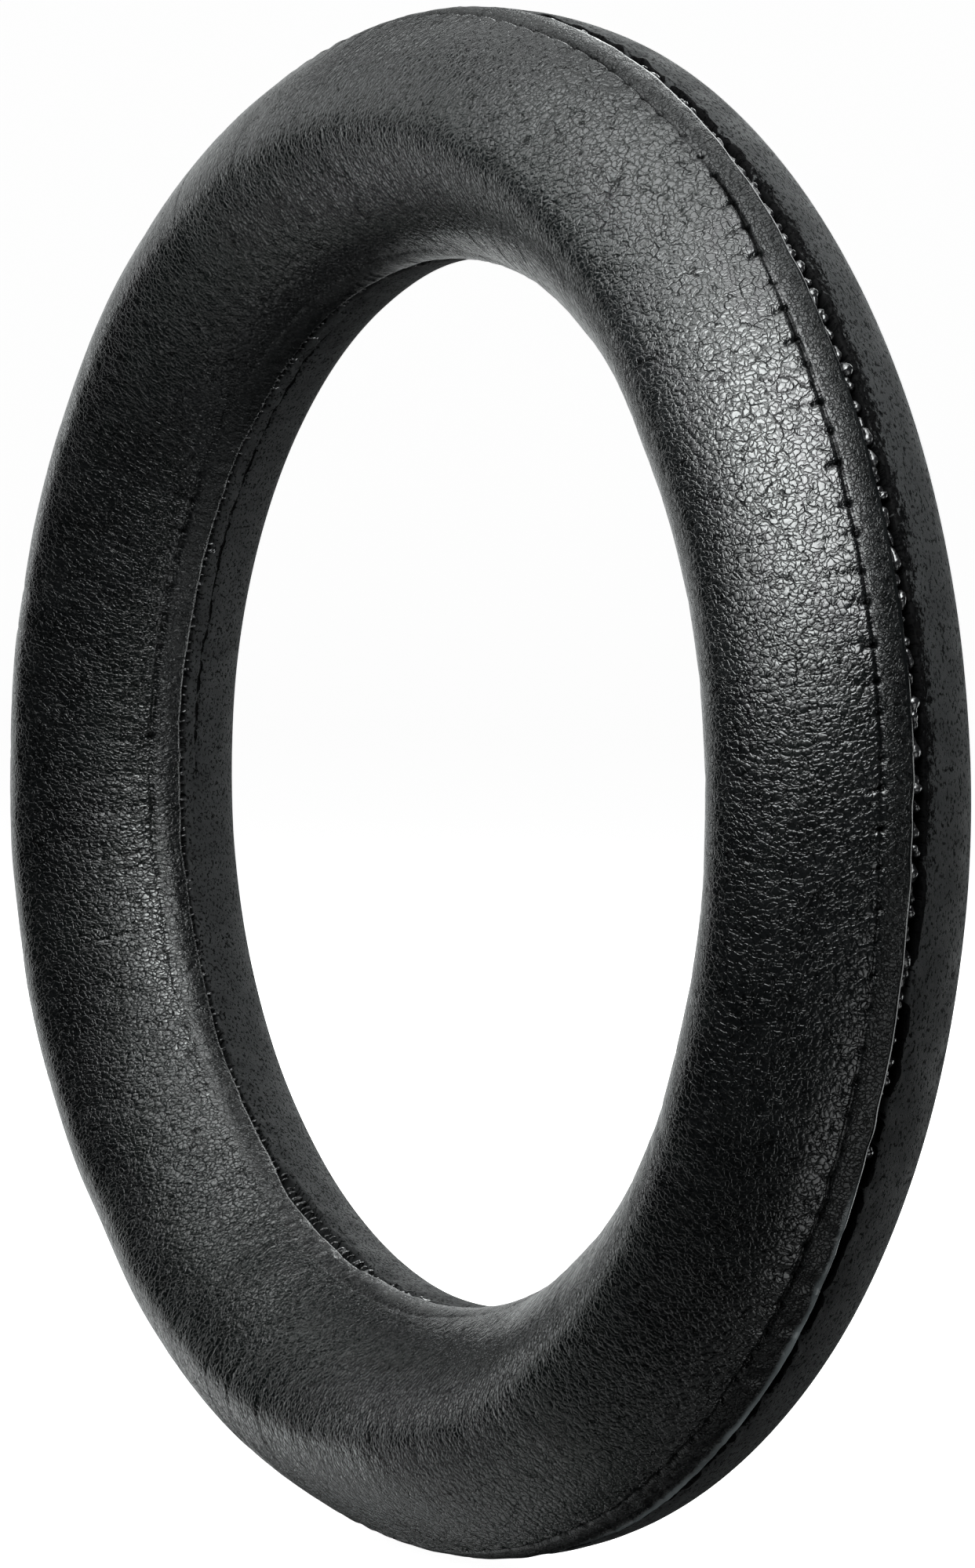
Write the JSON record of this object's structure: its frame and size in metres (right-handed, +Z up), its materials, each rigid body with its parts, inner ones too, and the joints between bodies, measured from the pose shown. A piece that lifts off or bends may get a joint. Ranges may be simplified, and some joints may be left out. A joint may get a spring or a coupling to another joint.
{
  "type": "headphone ear cushion",
  "caption": "Round padded leather ear cushion for a headphone: grained crowned front, smooth flat-backed rear, sewn inside and out, with an open centre for the ear and a stick-on back.",
  "frame": {"origin": "on the ring's axis, half way between the front crest and the back face of the mounting adhesive", "axes": "+Z up with the ring standing on its rim, ring axis along Y, crowned front towards -Y, flat back towards +Y, +X to the right seen from the front"},
  "size_m": [0.105, 0.015, 0.105],
  "materials": {
    "grained_leather": "satin pebble grain",
    "smooth_leather": "matte fine grain",
    "seam_thread": "waxed, glossy",
    "topstitch_thread": "satin",
    "stay_tape": "matte woven",
    "lining_knit": "matte knit",
    "soft_foam": "open cell foam",
    "firm_foam": "open cell foam",
    "backing_board": "matte fibre board",
    "adhesive_tape": "satin acrylic adhesive"
  },
  "bodies": {
    "root": {"front_cover": "grained_leather", "rear_cover": "smooth_leather", "outer_seam_thread": "seam_thread", "inner_seam_thread": "seam_thread", "outer_topstitch_thread": "topstitch_thread", "inner_topstitch_thread": "topstitch_thread", "outer_bobbin_thread": "topstitch_thread", "inner_bobbin_thread": "topstitch_thread", "outer_seam_tape": "stay_tape", "inner_seam_tape": "stay_tape", "front_lining": "lining_knit", "crown_foam": "soft_foam", "base_foam": "firm_foam", "backing_ring": "backing_board", "mounting_adhesive": "adhesive_tape"}
  },
  "joints": []
}
